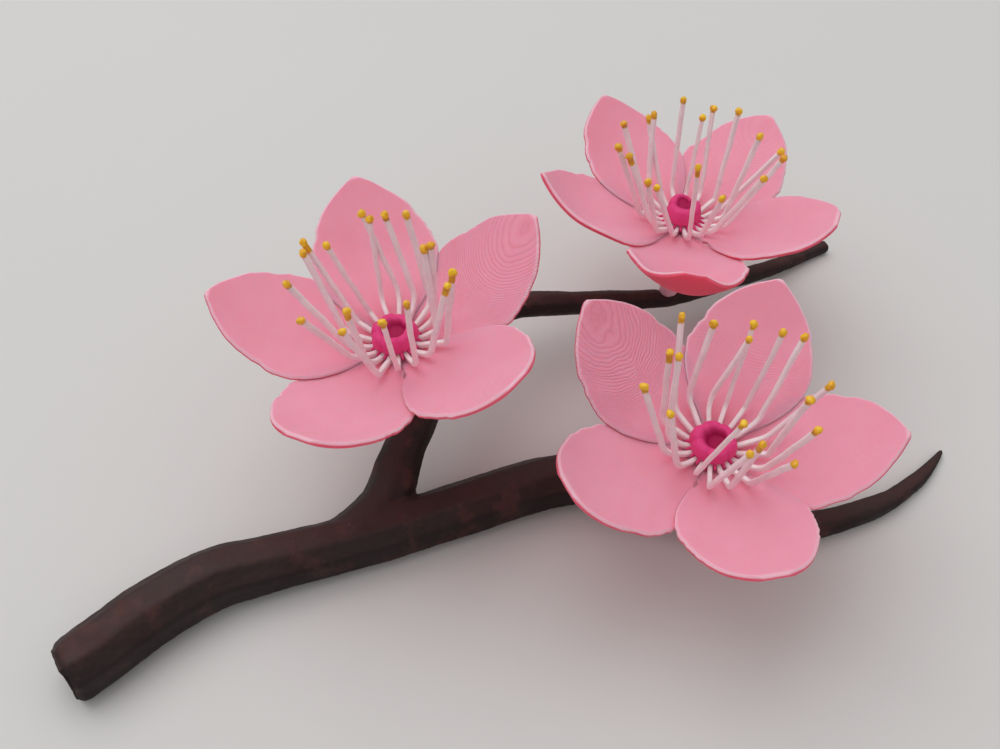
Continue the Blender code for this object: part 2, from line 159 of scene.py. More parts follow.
def geo(tree, kind, inputs=None, **settings):
    """A node that only geometry trees have."""
    return add_node(tree, "GeometryNode" + kind, inputs, **settings)


class Formula:
    """A value in a node tree. Python's signs on a number add Math nodes to the tree."""

    def __init__(self, tree, socket):
        self.tree = tree
        self.socket = socket

    def math(self, operation, *others):
        inputs = dict(enumerate((self, *others)))
        node = add_node(self.tree, "ShaderNodeMath", inputs, operation=operation)
        return Formula(self.tree, node.outputs[0])

    def __add__(self, other):
        return self.math("ADD", other)

    def __sub__(self, other):
        return self.math("SUBTRACT", other)

    def __rsub__(self, other):
        return -self + other

    def __mul__(self, other):
        return self.math("MULTIPLY", other)

    def __truediv__(self, other):
        return self.math("DIVIDE", other)

    def __pow__(self, other):
        return self.math("POWER", other)

    def __neg__(self):
        return self * -1.0

    def ramp(self, low, high, start=0.0, end=1.0):
        """Goes smoothly from start to end as the number goes from low to high."""
        inputs = {0: self, 1: low, 2: high, 3: start, 4: end}
        node = add_node(self.tree, "ShaderNodeMapRange", inputs,
                        interpolation_type="SMOOTHSTEP")
        return Formula(self.tree, node.outputs[0])

    def towards(self, other, share):
        """Goes from this number to the other as the share goes from 0 to 1."""
        return self + (other - self) * share


def formula(tree, node, output=0):
    return Formula(tree, node.outputs[output])


def axes(tree, vector):
    """The three numbers of a vector."""
    parts = add_node(tree, "ShaderNodeSeparateXYZ", {0: vector})
    return [formula(tree, parts, axis) for axis in range(3)]


def vector(tree, *numbers):
    """The vector of up to three numbers. What is left out is zero."""
    return add_node(tree, "ShaderNodeCombineXYZ", dict(enumerate(numbers)))


def noise(tree, place, scale, detail, roughness=0.5, distortion=0.0):
    """Noise from 0 to 1, finer with a larger scale."""
    node = add_node(tree, "ShaderNodeTexNoise", {
        "Vector": place, "Scale": scale, "Detail": detail, "Roughness": roughness,
        "Distortion": distortion})
    return formula(tree, node)


# %% Helpers for trees that are placed in others


def socket_kind(value):
    """The kind of input that takes a value. None stands for a material."""
    if value is None or value == "Geometry":
        return value or "Material"
    if isinstance(value, tuple):
        return {3: "Vector", 4: "Color"}[len(value)]
    return {int: "Int", float: "Float"}[type(value)]


def new_group(kind, name, inputs, outputs):
    """A Shader or Geometry tree: its inputs' values and the kinds of its outputs."""
    group = bpy.data.node_groups.new(name, kind + "NodeTree")
    for label, value in inputs.items():
        socket = group.interface.new_socket(
            label, in_out="INPUT", socket_type="NodeSocket" + socket_kind(value))
        if value != "Geometry":
            socket.default_value = value
    for label, output in outputs.items():
        group.interface.new_socket(label, in_out="OUTPUT",
                                   socket_type="NodeSocket" + output)
    return group


def inputs_of(tree):
    """The inputs of a tree by their names."""
    given = add_node(tree, "NodeGroupInput")
    return {out.name: Formula(tree, out) for out in given.outputs if out.name}


def place_group(tree, group, inputs):
    """Places a tree in another, as one node with these inputs."""
    kind = tree.bl_idname.replace("Tree", "Group")
    return add_node(tree, kind, inputs, node_tree=group)


# %% Helpers for trees that make geometry


def new_tree(name, inputs):
    return new_group("Geometry", name, inputs, {"Geometry": "Geometry"})


def store(tree, geometry, name, value, kind="FLOAT", **more):
    """Notes a value on each point of the geometry, under a name."""
    inputs = {"Geometry": geometry, "Name": name, "Value": value, **more}
    return geo(tree, "StoreNamedAttribute", inputs, data_type=kind, domain="POINT")


def stored(tree, name, kind="FLOAT"):
    node = geo(tree, "InputNamedAttribute", {"Name": name}, data_type=kind)
    return formula(tree, node)


def scaled(tree, vector, factor):
    return add_node(tree, "ShaderNodeVectorMath", {0: vector, "Scale": factor},
                    operation="SCALE")


def moved(tree, geometry, **to):
    """The geometry with its points moved by an Offset or to a Position."""
    return geo(tree, "SetPosition", {"Geometry": geometry, **to})


def join(tree, *parts):
    whole = geo(tree, "JoinGeometry")
    for part in parts:
        feed(tree, whole.inputs[0], part)
    return whole


def painted(tree, geometry, finish):
    return geo(tree, "SetMaterial", {"Geometry": geometry, "Material": finish})


def end_tree(tree, geometry, finish):
    """Makes instances real, gives all one material and ends the tree."""
    real = geo(tree, "RealizeInstances", {0: geometry})
    add_node(tree, "NodeGroupOutput", {0: painted(tree, real, finish)})


# %% Helpers for meshes


def new_object(name, data):
    thing = bpy.data.objects.new(name, data)
    bpy.context.scene.collection.objects.link(thing)
    return thing


def plain_mesh(thing):
    """The object's mesh with its modifiers applied; the object is removed."""
    graph = bpy.context.evaluated_depsgraph_get()
    mesh = bpy.data.meshes.new_from_object(thing.evaluated_get(graph),
                                           preserve_all_data_layers=True, depsgraph=graph)
    bpy.data.objects.remove(thing, do_unlink=True)
    return mesh


def grow(name, tree, values, mesh=None):
    """The plain mesh that a Geometry Nodes tree makes with these inputs."""
    thing = new_object(name, mesh or bpy.data.meshes.new(name))
    modifier = thing.modifiers.new(tree.name, "NODES")
    modifier.node_group = tree
    for item in tree.interface.items_tree:
        if item.in_out == "INPUT" and item.name in values:
            modifier[item.identifier] = values[item.name]
    return plain_mesh(thing)


def mesh_of(name, shape):
    """Turns a bmesh into a mesh."""
    mesh = bpy.data.meshes.new(name)
    shape.to_mesh(mesh)
    shape.free()
    return mesh


def read_points(owner, name):
    """A vector for each point, from a mesh's own data, as rows of three numbers."""
    rows = np.zeros((len(owner), 3), np.float32)
    owner.foreach_get(name, rows.ravel())
    return rows


def note(mesh, name, values):
    """Gives the mesh an attribute with a number or a vector for each point."""
    values = np.array(values, np.float32)
    kind, field = ("FLOAT", "value") if values.ndim == 1 else ("FLOAT_VECTOR", "vector")
    layer = mesh.attributes.new(name, kind, "POINT")
    layer.data.foreach_set(field, values.ravel())


def triangles(mesh):
    return sum(len(face.vertices) - 2 for face in mesh.polygons)


# %% [markdown]
# ## Finishes that several plastics share
#
# All the pieces but the paint drops come from the same kind of printer, so they share
# two things: the fine lines of the print, and a colour that isn't quite even. Each is
# a node group with named inputs, placed in a material with that material's own values.
# The groups only put out heights, masks and colours. The shader stays in the material.

# %% Helpers for shader trees


def colour(red, green, blue):
    """A colour picked on a screen, 0 to 255, as the linear colour a shader takes."""
    shares = (value / 255 for value in (red, green, blue))
    return (*(s / 12.92 if s <= 0.04045 else ((s + 0.055) / 1.055) ** 2.4
              for s in shares), 1.0)


def mixed(tree, factor, first, second):
    """Goes from the first colour to the second as the factor goes from 0 to 1."""
    node = add_node(tree, "ShaderNodeMix", {0: factor, 6: first, 7: second},
                    data_type="RGBA")
    return node.outputs[2]


def own_attribute(tree, name, output="Fac"):
    node = add_node(tree, "ShaderNodeAttribute", attribute_name=name)
    return formula(tree, node, output)


def object_position(tree):
    return add_node(tree, "ShaderNodeTexCoord").outputs["Object"]


def new_finish(name, values):
    """A material and its tree, with the shader's plain values set."""
    material = bpy.data.materials.new(name)
    material.use_nodes = True
    tree = material.node_tree
    for label, value in values.items():
        tree.nodes["Principled BSDF"].inputs[label].default_value = value
    return material, tree


def set_surface(tree, tint, roughness, height=None, strength=0.0, depth=0.0):
    """Gives a finish its colour and roughness and, with a height, its fine relief."""
    surface = {"Base Color": tint, "Roughness": roughness}
    if height is not None:
        surface["Normal"] = add_node(tree, "ShaderNodeBump", {
            "Strength": strength, "Distance": depth, "Height": height})
    for label, value in surface.items():
        feed(tree, tree.nodes["Principled BSDF"].inputs[label], value)


# %% The lines of the print
LAYER = 0.2 * MM


def print_lines_group():
    """Height of rounded beads, one for each whole number that the phase passes."""
    group = new_group("Shader", "print lines", {
        "Phase": 0.0, "Position": (0.0, 0.0, 0.0), "Wave Scale": 100.0, "Wave": 0.0},
        {"Height": "Float"})
    given = inputs_of(group)
    waves = noise(group, given["Position"], given["Wave Scale"], 2.0) - 0.5
    phase = given["Phase"] + waves * given["Wave"]
    bead = (phase * math.pi).math("SINE").math("ABSOLUTE") ** 0.7
    add_node(group, "NodeGroupOutput", {0: bead})
    return group


print_lines = print_lines_group()


def beads(tree, phase, position, wave_scale, wave):
    """The height of the lines, as a formula."""
    return formula(tree, place_group(tree, print_lines, {
        "Phase": phase, "Position": position, "Wave Scale": wave_scale, "Wave": wave}))


def layers(tree, wave_scale, wave):
    """The height of lines that run level, one for each layer of the print."""
    position = object_position(tree)
    return beads(tree, axes(tree, position)[2] / LAYER, position, wave_scale, wave)


# %% A colour that isn't quite even


def mottle_group():
    """Clouds of a second colour in the first, and a grain to roughen the surface."""
    group = new_group("Shader", "mottle", {
        "Position": (0.0, 0.0, 0.0), "Cloud Scale": 60.0, "Grain Scale": 900.0,
        "Amount": 0.5, "Colour": (0.5, 0.5, 0.5, 1.0), "Second": (0.4, 0.4, 0.4, 1.0)},
        {"Colour": "Color", "Mask": "Float", "Grain": "Float"})
    given = inputs_of(group)
    place = given["Position"]
    clouds = noise(group, place, given["Cloud Scale"], 4.0, roughness=0.6, distortion=0.4)
    mask = clouds.ramp(0.35, 0.68)
    grain = noise(group, place, given["Grain Scale"], 2.0, roughness=0.6)
    result = mixed(group, mask * given["Amount"], given["Colour"], given["Second"])
    add_node(group, "NodeGroupOutput", {0: result, 1: mask, 2: grain})
    return group


mottle = mottle_group()


def mottled(tree, clouds, grains, amount, first, second):
    """An uneven colour, the mask of its second colour, and a grain."""
    node = place_group(tree, mottle, {
        "Position": object_position(tree), "Cloud Scale": clouds, "Grain Scale": grains,
        "Amount": amount, "Colour": colour(*first), "Second": colour(*second)})
    return [Formula(tree, out) for out in node.outputs]


print("shared groups:", print_lines.name, "and", mottle.name)

# %% [markdown]
# ## Pink plastic of the petals
#
# The petals are matt and let a little light through, so their shadows glow coral. Their
# undersides are painted coral, as shade, and their rims paler, as a painted highlight
# where the rough edge of the print catches the light. The roots and the grooves between
# the lines of the print are painted a deeper pink, as shade.
# The lines of the print are the contours of the bowl: ovals round a point
# near the tip of a petal, far apart there and close together farther in. They show on
# some petals much more than on others, which the attribute "terrace" says. The rim's
# distance and the place on the petal are attributes too, so the finish follows the
# shape.

# %% Petal finish
LINE_CENTRE = 0.92
LINES_PER_SQUARE_MM = 0.084


def petal_finish():
    material, tree = new_finish("pink petal plastic", {
        "Subsurface Weight": 0.70, "Subsurface Radius": (1.0, 0.26, 0.33),
        "Subsurface Scale": 3.4 * MM, "IOR": 1.45, "Specular IOR Level": 0.30})
    place = own_attribute(tree, "place", "Vector")
    along, across, _ = axes(tree, place)
    clear, wavy, reach = axes(tree, own_attribute(tree, "terrace", "Vector"))
    rim = own_attribute(tree, "rim")
    under = own_attribute(tree, "under")

    # the ovals, wavy, and gone in the root's half of the petal
    off_centre = (along - LINE_CENTRE) ** 2.0 + across ** 2.0
    phase = off_centre * (BLOOM_RADIUS / MM) ** 2 * LINES_PER_SQUARE_MM
    lines = beads(tree, phase, place, 7.0, wavy)
    shown = clear * along.ramp(0.30, 0.55) * (reach - along).ramp(0.0, 0.15)

    # painted shade: deeper pink at the root and in the grooves, coral underneath;
    # a painted highlight: pale on the rim
    tint, _, grain = mottled(tree, 70.0, 1500.0, 0.35, (248, 164, 186), (241, 150, 172))
    root = along.ramp(0.10, 0.55, 0.45, 0.0)
    groove_painted_shade = (1.0 - lines) * shown * 0.45
    rim_painted_highlight = rim.ramp(0.05 * MM, 0.50 * MM, 0.50, 0.0) * (1.0 - under)
    for share, second in ((root, (236, 132, 156)), (groove_painted_shade, (222, 118, 142)),
                          (rim_painted_highlight, (252, 212, 220)), (under, (242, 98, 124))):
        tint = mixed(tree, share, tint, colour(*second))
    set_surface(tree, tint, grain.ramp(0.3, 0.7, 0.50, 0.64),
                lines * shown + grain * 0.10, strength=0.8, depth=0.16 * MM)
    return material


petal_plastic = petal_finish()
print("petal finish:", petal_plastic.name)

# %% [markdown]
# ## White plastic, yellow paint and magenta plastic
#
# The star of stamens is a milky white print. On some stamens the paint of the tip has
# run a little way down the strip, which two attributes tell: how far a point is from
# the tip, and how far the paint of its own strip runs. The paint itself has dried in
# thick glossy drops, darker where it is thin. The cup is printed in magenta.

# %% Strip, paint and cup finishes


def strip_finish():
    material, tree = new_finish("white strip plastic", {
        "Subsurface Weight": 0.35, "Subsurface Radius": (1.0, 0.7, 0.7),
        "Subsurface Scale": 0.8 * MM, "IOR": 1.46})
    tint, mask, grain = mottled(tree, 260.0, 2500.0, 0.5, (246, 232, 234), (232, 208, 214))
    smeared = own_attribute(tree, "from_tip") + grain * 0.8 * MM
    run = (smeared - own_attribute(tree, "paint")).ramp(0.8 * MM, 1.3 * MM, 1.0, 0.0)
    thin_paint = mixed(tree, mask, colour(232, 178, 30), colour(196, 136, 30))
    set_surface(tree, mixed(tree, run, tint, thin_paint), 0.42,
                layers(tree, 300.0, 0.6) * 0.3 + grain, strength=0.35, depth=0.08 * MM)
    return material


def paint_finish():
    material, tree = new_finish("yellow paint", {
        "Subsurface Weight": 0.1, "Subsurface Radius": (1.0, 0.6, 0.1),
        "Subsurface Scale": 0.3 * MM, "IOR": 1.48, "Coat Weight": 0.35,
        "Coat Roughness": 0.22})
    tint, _, grain = mottled(tree, 420.0, 2200.0, 0.85, (255, 204, 24), (222, 146, 10))
    set_surface(tree, tint, grain.ramp(0.3, 0.7, 0.32, 0.52),
                grain, strength=0.4, depth=0.10 * MM)
    return material


def cup_finish():
    material, tree = new_finish("magenta cup plastic", {
        "Subsurface Weight": 0.12, "Subsurface Radius": (1.0, 0.1, 0.3),
        "Subsurface Scale": 0.6 * MM, "IOR": 1.45, "Specular IOR Level": 0.22})
    tint, _, grain = mottled(tree, 300.0, 2400.0, 0.5, (230, 70, 134), (214, 52, 118))
    # painted shade: the hollow of the cup is a darker magenta
    tint = mixed(tree, own_attribute(tree, "hollow"), tint, colour(168, 14, 78))
    set_surface(tree, tint, grain.ramp(0.3, 0.7, 0.46, 0.60),
                layers(tree, 200.0, 1.0) * 0.5 + grain * 0.5, strength=0.3, depth=0.08 * MM)
    return material


strip_plastic = strip_finish()
yellow_paint = paint_finish()
cup_plastic = cup_finish()
print("small finishes:", ", ".join(m.name for m in (strip_plastic, yellow_paint,
                                                    cup_plastic)))

# %% [markdown]
# ## Brown plastic of the branch
#
# The branch is nearly black-brown. Looked at closely, it is blotched: reddish where the
# plastic was handled and rubbed, with a few pale specks. Its sides are painted darker
# than its flat top, as shade. The layers of the print run level along its sides.

# %% Branch finish


def branch_finish():
    material, tree = new_finish("brown branch plastic", {
        "IOR": 1.45, "Specular IOR Level": 0.40})
    position = object_position(tree)
    tint, mask, grain = mottled(tree, 95.0, 700.0, 0.9, (54, 33, 33), (66, 41, 39))
    patches = noise(tree, position, 130.0, 4.0, roughness=0.66)
    rubbed = patches.ramp(0.50, 0.68, 0.0, 0.6)
    lit_from_above = own_attribute(tree, "lit_from_above").ramp(0.55, 0.95)
    specks = add_node(tree, "ShaderNodeTexVoronoi", {"Vector": position, "Scale": 330.0})
    speck = formula(tree, specks, "Distance").ramp(0.06, 0.12, 1.0, 0.0)
    speck = speck * patches.ramp(0.50, 0.62)
    # painted shade: the sides are darker than the flat top, which faces the light overhead
    tint = mixed(tree, lit_from_above, colour(35, 20, 21), tint)
    tint = mixed(tree, rubbed, tint, colour(82, 46, 42))
    tint = mixed(tree, speck * 0.25, tint, colour(150, 128, 118))
    height = layers(tree, 120.0, 0.8) * 0.20 + patches * 0.5 + grain * 0.6
    set_surface(tree, tint, mask.ramp(0.0, 1.0, 0.58, 0.74),
                height, strength=0.35, depth=0.12 * MM)
    return material


branch_plastic = branch_finish()
print("branch finish:", branch_plastic.name)

# %% [markdown]
# ## One petal
#
# A printed petal is a thin shell in the shape of a spoon: narrow at its root, broad in
# the middle, pointed at its tip, and rising like the wall of a bowl. It could be
# sculpted, but all five follow one rule and differ in a few numbers, so Geometry Nodes
# make it from a flat grid. Each point of the grid is moved to its place along and
# across the petal and up the bowl. Noise tears the outer edge a little, as on the
# print. The sheet is then extruded downwards by its thickness and closed.

# %% The outline and the bowl
PETALS = 5
# Half of a petal's outline: how far along it, and its half width there, both in
# blossom radii. The root's half is the same for pointed and blunt petals.
ROOT_OUTLINE = ((0.06, 0.05), (0.18, 0.14), (0.32, 0.27), (0.45, 0.35), (0.56, 0.372))
POINTED_OUTLINE = (*ROOT_OUTLINE, (0.70, 0.33), (0.82, 0.265), (0.92, 0.155),
                   (1.00, 0.012))
BLUNT_OUTLINE = (*ROOT_OUTLINE, (0.70, 0.345), (0.82, 0.285), (0.91, 0.20),
                 (0.97, 0.065))
SAG_START = 0.40                # where along the petal its sag starts
SAG_SCALE = 27 / 4              # makes the sag's curve one at its deepest
SAG_SIDE = 0.36                 # half width at which a sagging petal hardly sags
SAG_HELD = 0.9                  # share of the sag that is held back there
BOWL_POWER = 1.9                # how sharply the bowl turns up towards the tips
ACROSS_SHARE = 0.775            # a petal is this much flatter across than along
MARGIN_STEP = 0.45              # a margin's share of the step where two overlap
MARGIN_ANGLES = (math.radians(12), math.radians(32))
EDGE_TEAR = 0.025               # how far the edge is torn in and out, in radii
TIP_SHARE = 0.35                # how strongly the tip is torn, beside the sides
TIP_BAND = 0.18
TIP_ROWS = 1.25                 # how much the rows crowd towards the tip
RIM_SHARE = 0.30                # how thick the very edge is, of the petal's thickness
SURFACE_WAVE = 0.012            # height of the sheet's slow waves, in radii
NOTCH_PLACE = 0.215
NOTCH_WIDTH = 0.03


def outline_curve(tree, along, outline):
    """Half the petal's width at a place along it, read from a curve."""
    curve = add_node(tree, "ShaderNodeFloatCurve", {1: along})
    points = curve.mapping.curves[0].points
    points[0].location = outline[0]
    points[1].location = outline[-1]
    for x, y in outline[1:-1]:
        points.new(x, y)
    curve.mapping.update()
    return formula(tree, curve)


def edge_noise(tree, place, seed):
    """Noise about zero, which changes along one direction only."""
    return (noise(tree, vector(tree, place, seed), 14.0, 2.5, 0.55) - 0.5) * 2.0


def petal_tree():
    """Makes one petal along X from its rise, its twist and how its margins lie."""
    tree = new_tree("petal", {
        "Radius": BLOOM_RADIUS, "Thickness": PETAL_THICKNESS, "Rise": 0.45, "Sag": 0.0,
        "Twist": 0.0, "Blunt": 0.0, "Left Side": 1.0, "Right Side": 1.0,
        "Left Notch": 0.0, "Right Notch": 0.0, "Number": 0.0, "Seed": 0.0,
        "Rounding": 0.42 * MM, "Rows": 88, "Columns": 61})
    value = inputs_of(tree)
    radius, thickness = value["Radius"], value["Thickness"]
    grid = geo(tree, "MeshGrid", {
        "Size X": 1.0, "Size Y": 1.0, "Vertices X": value["Rows"],
        "Vertices Y": value["Columns"]})
    row, column, _ = axes(tree, geo(tree, "InputPosition"))
    start = ROOT_OUTLINE[0][0]
    length = 1.0 - value["Blunt"] * (1 - BLUNT_OUTLINE[-1][0])
    even_along = length - (0.5 - row) ** TIP_ROWS * (length - start)
    is_left = column.math("GREATER_THAN", 0.0)

    # how wide the petal is here: the outline, less a notch at the root
    pointed = outline_curve(tree, even_along, POINTED_OUTLINE)
    blunt = outline_curve(tree, even_along, BLUNT_OUTLINE)
    notch = value["Right Notch"].towards(value["Left Notch"], is_left)
    dent = ((even_along - NOTCH_PLACE) / NOTCH_WIDTH) ** 2.0
    dent = (-dent).math("EXPONENT") * notch
    width = pointed.towards(blunt, value["Blunt"]) - dent
    crowded = width.ramp(0.02, 0.15)        # how far the columns crowd to the sides
    sideways = column * 2.0 * (1.0 - crowded) + (column * math.pi).math("SINE") * crowded
    even_across = width * sideways

    # the edge is torn: its sides in and out by where along the petal they are, and its
    # tip, less strongly, by where across, so that the mesh never folds over itself
    to_side = width * (1.0 - sideways.math("ABSOLUTE"))
    from_end = length - even_along
    to_edge = to_side.math("MINIMUM", from_end * 0.7)
    seed = value["Seed"] + value["Number"] * 1.9
    torn_side = edge_noise(tree, even_along, is_left * 3.7 + seed)
    torn_side = torn_side * even_along.ramp(0.30, 0.60) * from_end.ramp(0.10, 0.24)
    across = even_across + torn_side * sideways * EDGE_TEAR
    torn_tip = edge_noise(tree, even_across * 0.6, seed + 31.0) * TIP_SHARE
    along = even_along + torn_tip * from_end.ramp(0.0, TIP_BAND, 1.0, 0.0) * EDGE_TEAR

    # how high the sheet stands: the bowl, the twist, the step where margins overlap
    reach = (along * along + (across * ACROSS_SHARE) ** 2.0).math("SQRT")
    bowl = value["Rise"] * reach ** BOWL_POWER
    outwards = ((along - SAG_START) / (1 - SAG_START)).math("MAXIMUM", 0.0)
    dip = value["Sag"] * outwards * outwards * (1.0 - outwards) * SAG_SCALE
    dip = dip * (1.0 - (across / SAG_SIDE) ** 2.0 * SAG_HELD)
    side = value["Right Side"].towards(value["Left Side"], is_left)
    angle = across.math("ARCTAN2", along).math("ABSOLUTE")
    step = side * angle.ramp(*MARGIN_ANGLES) * along.ramp(0.10, 0.35)
    step = step * MARGIN_STEP * thickness / radius
    spot = vector(tree, along, across, value["Seed"] + value["Number"] * 2.3)
    wave = (noise(tree, spot, 3.0, 1.0) - 0.5) * along.ramp(0.3, 0.8)
    twist = value["Twist"] * along * across
    height = bowl + twist + step + wave * SURFACE_WAVE * 2.0 - dip

    # note on the flat grid where on the petal each point is, then move the points
    place = vector(tree, along, across, value["Number"])
    sheet = store(tree, grid, "place", place, "FLOAT_VECTOR")
    sheet = store(tree, sheet, "rim", to_edge * radius)
    shape = scaled(tree, vector(tree, along, across, height), radius)
    sheet = moved(tree, sheet, Position=shape)

    # thicken: extrude a copy, turn it over, and close it with the sheet
    normal = geo(tree, "InputNormal")
    sheet = store(tree, sheet, "upright", normal, "FLOAT_VECTOR")
    under = geo(tree, "ExtrudeMesh", {
        "Mesh": sheet, "Offset Scale": -thickness, "Individual": False}, mode="FACES")
    under = store(tree, under, "under", 1.0, Selection=under.outputs["Top"])
    under = geo(tree, "FlipFaces", {"Mesh": under})
    closed = geo(tree, "MergeByDistance", {
        "Geometry": join(tree, sheet, under), "Distance": 0.0003 * MM})

    # round the rim: near the edge, both faces are drawn in towards the middle
    away = (1.0 - stored(tree, "rim") / value["Rounding"]).math("MAXIMUM", 0.0)
    kept = (1.0 - away * away).math("MAXIMUM", RIM_SHARE ** 2).math("SQRT")
    inwards = (stored(tree, "under") * 2.0 - 1.0) * (1.0 - kept) * thickness * 0.5
    offset = scaled(tree, stored(tree, "upright", "FLOAT_VECTOR"), inwards)
    add_node(tree, "NodeGroupOutput", {0: moved(tree, closed, Offset=offset)})
    return tree


petal = petal_tree()
print("the petal's tree has", len(petal.nodes), "nodes")

# %% [markdown]
# ## Five petals on a stalk
#
# The petals, the small hub under them and the stalk are one print. A second tree places
# the petal's tree five times, each time with its own rise, twist and margins, and turns
# each copy a fifth of a circle on. Where two petals meet, one margin lies over the
# other. Between the third and the fourth a small gap is left open at the root. The
# stalk is a turned shape: a profile carried round an axis.

# %% How the five petals differ
TIP_RISE = (0.47, 0.43, 0.41, 0.43, 0.51)
PETAL_TWIST = (0.10, 0.03, 0.0, -0.09, -0.055)
MARGIN_SIDE = ((1.0, 1.0), (-1.0, -1.0), (1.0, 1.0), (-1.0, -1.0), (1.0, -1.0))
BLUNT_PETALS = (2, 3)
NOTCHES = {2: {"Right Notch": 0.028}, 3: {"Left Notch": 0.028}}


def corolla_tree(petal):
    """Places the petal's tree five times round the blossom's axis."""
    sags = {f"Sag {number}": 0.0 for number in range(PETALS)}
    tree = new_tree("corolla", {"Radius": BLOOM_RADIUS, "Thickness": PETAL_THICKNESS,
                                "Seed": 0.0, "Finish": None, **sags})
    given = inputs_of(tree)
    petals = []
    for number, (left, right) in enumerate(MARGIN_SIDE):
        grown = place_group(tree, petal, {
            **{label: given[label] for label in ("Radius", "Thickness", "Seed")},
            "Number": float(number), "Rise": TIP_RISE[number],
            "Twist": PETAL_TWIST[number], "Sag": given[f"Sag {number}"],
            "Blunt": float(number in BLUNT_PETALS), "Left Side": left,
            "Right Side": right, **NOTCHES.get(number, {})})
        turn = Euler((0, 0, -number * math.tau / PETALS))
        petals.append(geo(tree, "Transform", {"Geometry": grown, "Rotation": turn}))
    end_tree(tree, join(tree, *petals), given["Finish"])
    return tree


corolla = corolla_tree(petal)
print("the corolla's tree has", len(corolla.nodes), "nodes")

# %% Turned shapes


def turned_mesh(name, profile, sides):
    """A solid of revolution: points of (radius, height) from the bottom to the top."""
    shape = bmesh.new()
    rings = []
    for radius, height in profile:
        angles = [side * math.tau / sides for side in range(sides)]
        rings.append([shape.verts.new((radius * math.cos(a), radius * math.sin(a), height))
                      for a in angles])
    for low, high in zip(rings, rings[1:]):
        for side in range(sides):
            after = (side + 1) % sides
            shape.faces.new((low[side], low[after], high[after], high[side]))
    shape.faces.new(reversed(rings[0]))
    shape.faces.new(rings[-1])
    return mesh_of(name, shape)


def joined(name, meshes):
    """One mesh with the geometry and the attributes of several, which are removed."""
    shape = bmesh.new()
    for mesh in meshes:
        shape.from_mesh(mesh)
        bpy.data.meshes.remove(mesh)
    return mesh_of(name, shape)


# %% The stalk
HUB_TOP = -0.25 * MM
HUB_RADIUS = 0.165 * BLOOM_RADIUS
STALK_RADIUS = 2.15 * MM
PEG_RADIUS = 1.1 * MM
PEG_BOTTOM = -STALK_LENGTH - 2.2 * MM
STALK_SIDES = 48
STALK_PROFILE = (
    (PEG_RADIUS - 0.2 * MM, PEG_BOTTOM),
    (PEG_RADIUS, PEG_BOTTOM + 0.2 * MM),
    (PEG_RADIUS, -STALK_LENGTH),
    (STALK_RADIUS - 0.15 * MM, -STALK_LENGTH),
    (STALK_RADIUS, -STALK_LENGTH + 0.2 * MM),
    (STALK_RADIUS + 0.1 * MM, -0.75 * STALK_LENGTH),
    (STALK_RADIUS + 0.3 * MM, -0.50 * STALK_LENGTH),
    (STALK_RADIUS + 0.55 * MM, -0.28 * STALK_LENGTH),
    (0.55 * HUB_RADIUS, HUB_TOP - 2.6 * MM),
    (0.72 * HUB_RADIUS, HUB_TOP - 1.7 * MM),
    (HUB_RADIUS - 0.1 * MM, HUB_TOP - 0.2 * MM),
    (HUB_RADIUS - 0.3 * MM, HUB_TOP),
)

# %% Three blossoms of petals
# How the lines of the print show on a blossom's five petals: how clearly, how wavy they
# are, and how far out they reach, in blossom radii.
FAINT = (0.06, 0.5, 1.3)
TERRACES = {"left": (FAINT, (0.75, 1.2, 1.3), (0.22, 0.8, 1.3), FAINT, FAINT),
            "far": (FAINT, (0.25, 1.0, 1.3), FAINT, FAINT, FAINT),
            "right": ((0.45, 1.0, 0.74), (0.10, 0.5, 1.3), FAINT, FAINT, (0.85, 3.6, 1.3))}


def corolla_mesh(bloom, seed):
    """The pink print of one blossom, in the blossom's own frame."""
    values = {f"Sag {number}": sag for number, sag in enumerate(BLOOMS[bloom]["sag"])}
    name = "pink_" + bloom
    petals = grow(name, corolla, {**values, "Seed": seed, "Finish": petal_plastic})
    stalk = turned_mesh("stalk", STALK_PROFILE, STALK_SIDES)
    whole = joined(name, [petals, stalk])
    numbers = read_points(whole.attributes["place"].data, "vector")[:, 2]
    note(whole, "terrace", np.array(TERRACES[bloom])[numbers.round().astype(int)])
    whole.materials.append(petal_plastic)
    return whole


petal_meshes = {name: corolla_mesh(name, 1.0 + number)
                for number, name in enumerate(BLOOMS)}
for name, mesh in petal_meshes.items():
    print(f"petals and stalk, {name}: {triangles(mesh)} triangles")

# %% [markdown]
# ## Seventeen stamens
#
# The white star is one print: a washer under the cup, and seventeen flat strips that
# run out from it, fold at an elbow and stand up. The strips' paths come from a rule with
# a seeded draw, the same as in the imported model. A path is only a row of points, so
# it is kept as a mesh of edges, and Geometry Nodes turn it into a strip: they round the
# elbow, let the strip wander a little, carry a flat profile along it, and set a drop of
# paint on each end.

# %% Paths of the stamens
STAMENS = 17
STAR_RADIUS = 0.10 * BLOOM_RADIUS
STAR_LIFT = 1.25 * MM
LEVEL_RADIUS = 0.155 * BLOOM_RADIUS
BEND_RADIUS = 0.285 * BLOOM_RADIUS
BEND_SPREAD = 0.045 * BLOOM_RADIUS
BEND_CLEARANCE = 1.68 * MM
STEM_LENGTH = 0.59 * BLOOM_RADIUS
LENGTH_SPREAD = 0.08
LEAN_SPREAD = math.radians(13)
SIDE_SPREAD = math.radians(13)
# In degrees, each star's turn, its stems' mean lean outwards, and the lean of the whole
# bunch to the right and to the back; and the seed, one of many that were tried, which
# sets the painted ends nearest to where those of the real sprig stand.
STARS = {
    "left": {"star_turn": 5, "open": 13, "brush": (-3, 5), "seed": 3844},
    "far": {"star_turn": 0, "open": 19, "brush": (0, 0), "seed": 616},
    "right": {"star_turn": 5, "open": 15, "brush": (7, 4), "seed": 869},
}


def bend_height(radius):
    """Height of a bend's middle that keeps it clear of the highest petal."""
    bowl = max(TIP_RISE) * (radius / BLOOM_RADIUS) ** BOWL_POWER * BLOOM_RADIUS
    return bowl + BEND_CLEARANCE


